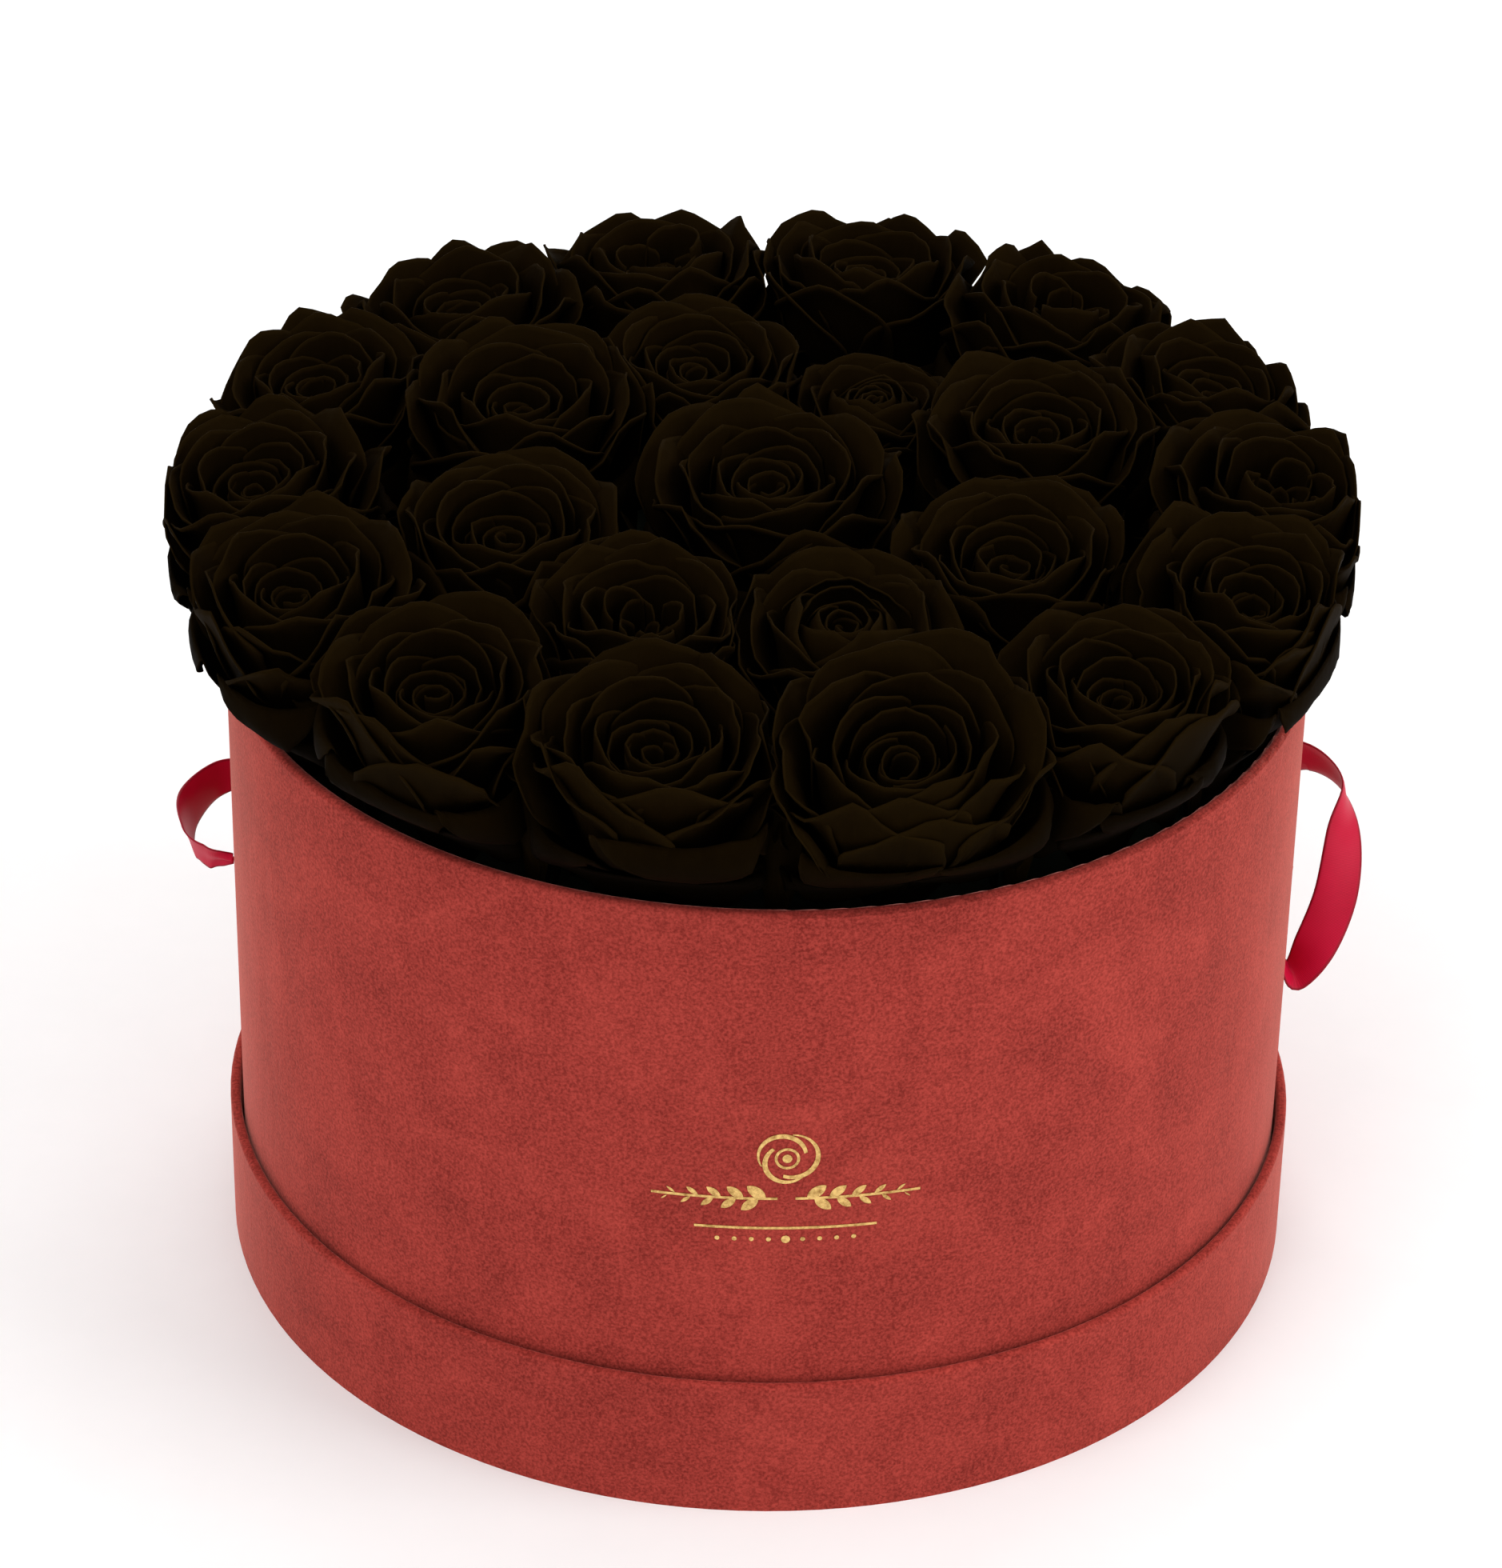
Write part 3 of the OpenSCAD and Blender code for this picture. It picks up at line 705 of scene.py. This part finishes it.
# each station: its middle, the way its width points, and half the width that shows
RIGHT_LOOP = [
    (pol(141.9, 20.9, 99.0), (0.3, -0.75, 0.6), 1.1),
    (pol(145.9, 20.7, 99.8), (0.2, -0.6, 0.7), 2.8),
    (pol(151.0, 20.3, 103.5), (0.0, -0.45, 0.9), 5.0),
    (pol(157.0, 17.8, 110.0), (0.0, -0.35, 0.94), 6.0),
    (pol(164.5, 14.6, 105.0), (-0.05, -0.66, 0.75), 6.0),
    (pol(162.5, 11.3, 94.0), (-0.75, -0.35, 0.5), 6.0),
    (pol(158.5, 8.0, 81.0), (-0.9, 0.15, 0.35), 6.0),
    (pol(151.5, 5.0, 70.0), (-0.6, 0.6, 0.3), 6.0),
    (pol(145.5, 4.0, 63.0), (-0.12, 0.97, 0.2), 5.4),
    (pol(141.75, 4.4, 71.0), (-0.08, 1.0, 0.0), 4.6),
    (pol(141.5, 4.2, 85.0), (-0.07, 1.0, 0.0), 3.4),
    (pol(141.9, 3.5, 99.0), (-0.06, 1.0, 0.0), 1.1),
]
LEFT_LOOP = [
    (pol(141.9, 159.1, 99.0), (0.1, -0.3, 0.95), 1.1),
    (pol(145.9, 159.3, 99.3), (0.05, -0.25, 0.96), 2.6),
    (pol(151.0, 159.7, 99.8), (0.0, -0.2, 0.97), 4.8),
    (pol(156.5, 162.6, 100.2), (-0.1, -0.12, 0.98), 6.0),
    (pol(158.5, 168.5, 100.4), (-0.35, 0.0, 0.93), 6.0),
    (pol(154.5, 174.3, 100.6), (-0.1, -0.5, 0.82), 6.0),
    (pol(149.0, 176.2, 99.2), (0.05, -0.55, 0.8), 5.6),
    (pol(145.3, 176.4, 98.9), (0.08, -0.52, 0.82), 3.8),
    (pol(141.9, 176.5, 99.0), (0.2, -0.4, 0.85), 1.1),
]


def unit(vectors):
    return vectors / np.linalg.norm(vectors, axis=-1, keepdims=True)


def weave_map(obj, across, length):
    """UV in metres: across the ribbon and along it, so that its ribs keep their size."""
    weave = obj.data.uv_layers.new(name="weave")
    index = np.empty(len(obj.data.loops), int)
    obj.data.loops.foreach_get("vertex_index", index)
    u = across[index % RIBBON_COLUMNS] * RIBBON_HALF
    place = np.stack([u, length[index // RIBBON_COLUMNS]], -1) * MM
    weave.data.foreach_set("uv", place.ravel())


def make_ribbon(name, stations, body, node, seed):
    """A satin strip through its stations, gathered where it goes into the wall."""
    rng = np.random.default_rng(seed)
    t = np.linspace(0.0, 1.0, RIBBON_ROWS)
    middle = follow([s[0] for s in stations], t)
    width = follow([s[1] for s in stations], t)
    shown = follow([[s[2]] for s in stations], t)
    tangent = unit(np.gradient(middle, axis=0))
    width = unit(width - (width * tangent).sum(1, keepdims=True) * tangent)
    normal = np.cross(tangent, width)

    u = np.linspace(-1.0, 1.0, RIBBON_COLUMNS)[None, :]
    gathered = np.clip((RIBBON_HALF - shown) / (RIBBON_HALF - GATHERED_HALF), 0.0, 1.0)
    pleat = 0.95 * gathered * np.sin(u * math.pi * 1.5 + 0.5)
    cup = 0.35 * (1.0 - gathered) * (u ** 2 - 0.4)
    flutter = 0.30 * (1.0 - gathered) * np.abs(u) ** 3 * waves(rng, t[:, None] * 3.0, 4)
    flutter = flutter * np.where(u < 0, 1.0, -0.7)
    shift = (pleat + cup + flutter)[..., None] * normal[:, None, :]
    points = middle[:, None, :] + (shown * u)[..., None] * width[:, None, :] + shift
    out = np.hypot(points[..., 0], points[..., 1])
    points[..., :2] *= (np.maximum(out, BOX_R + RIBBON_CLEAR) / out)[..., None]

    steps = np.linalg.norm(np.diff(middle, axis=0), axis=1)
    length = np.concatenate([[0.0], np.cumsum(steps)])
    faces = grid_faces(RIBBON_ROWS, RIBBON_COLUMNS)
    obj = piece(name, points.reshape(-1, 3), faces, SATIN, body, [node])
    weave_map(obj, u[0], length)
    thicken(obj, RIBBON_T)


# ---------------------------------------------------------------- floor, light and camera, in m

FLOOR_HALF = 6.0
BACKDROP_Y = 2.5
BACKDROP_TOP = 4.0
SWEEP_R = 0.8
SENSOR = 36.0


def make_floor():
    """A pale floor that sweeps up into a backdrop."""
    sweep = [(BACKDROP_Y - SWEEP_R + SWEEP_R * math.sin(a), SWEEP_R - SWEEP_R * math.cos(a))
             for a in np.linspace(0, math.pi / 2, 16)]
    rows = [(-FLOOR_HALF, 0.0)] + sweep + [(BACKDROP_Y, BACKDROP_TOP)]
    verts = [(x, y, z) for y, z in rows for x in (-FLOOR_HALF, FLOOR_HALF)]
    faces = [(2 * i, 2 * i + 1, 2 * i + 3, 2 * i + 2) for i in range(len(rows) - 1)]
    mesh = bpy.data.meshes.new("floor")
    mesh.from_pydata(verts, [], faces)
    mesh.shade_smooth()
    mesh.materials.append(FLOOR)
    floor = bpy.data.objects.new("floor", mesh)
    bpy.context.collection.objects.link(floor)


def area_light(name, place, aim, size, power):
    data = bpy.data.lights.new(name, "AREA")
    data.shape = "RECTANGLE"
    data.size, data.size_y = size
    data.energy = power
    light = bpy.data.objects.new(name, data)
    light.location = place
    direction = Vector(aim) - Vector(place)
    light.rotation_euler = direction.to_track_quat("-Z", "Y").to_euler()
    bpy.context.collection.objects.link(light)


def even_light(strength):
    """The same white light from all round."""
    world = bpy.data.worlds.new("studio")
    world.use_nodes = True
    background = world.node_tree.nodes["Background"]
    background.inputs["Color"].default_value = (1.0, 1.0, 1.0, 1.0)
    background.inputs["Strength"].default_value = strength
    bpy.context.scene.world = world


def look_from(place, pitch, yaw, roll, lens):
    """A camera at place: pitch down, yaw to the right and roll, all in radians."""
    forward = np.array([math.sin(yaw) * math.cos(pitch), math.cos(yaw) * math.cos(pitch),
                        -math.sin(pitch)])
    right = np.array([math.cos(yaw), -math.sin(yaw), 0.0])
    up = np.cross(right, forward)
    turned_right = math.cos(roll) * right - math.sin(roll) * up
    turned_up = math.sin(roll) * right + math.cos(roll) * up
    data = bpy.data.cameras.new("camera")
    data.sensor_width = SENSOR
    data.lens = lens
    data.clip_end = 50.0
    camera = bpy.data.objects.new("camera", data)
    matrix = np.eye(4)
    matrix[:3, :3] = np.stack([turned_right, turned_up, -forward], 1)
    matrix[:3, 3] = place
    camera.matrix_world = Matrix(matrix.tolist())
    bpy.context.collection.objects.link(camera)
    bpy.context.scene.camera = camera


# ---------------------------------------------------------------- the whole scene

repaint()
make_roses()
make_loose_petals()
make_ribbon("ribbon_right_strip", RIGHT_LOOP, "handle_right", "ribbon_right_loop", 3)
make_ribbon("ribbon_left_strip", LEFT_LOOP, "handle_left", "ribbon_left_loop", 4)

make_floor()
even_light(0.75)
area_light("key", (-0.9, -1.0, 1.9), (0.0, 0.0, 0.1), (1.4, 1.4), 17.0)
area_light("fill", (1.5, -0.5, 1.1), (0.0, 0.0, 0.1), (1.0, 1.6), 15.0)
area_light("back", (0.3, 1.6, 1.7), (0.0, 0.0, 0.2), (2.0, 1.0), 14.0)
look_from((-0.0312, -1.1783, 0.8305), 0.53721, 0.02345, -0.01832, SENSOR * 6500 / 1960)
bpy.context.scene.view_settings.view_transform = "Standard"
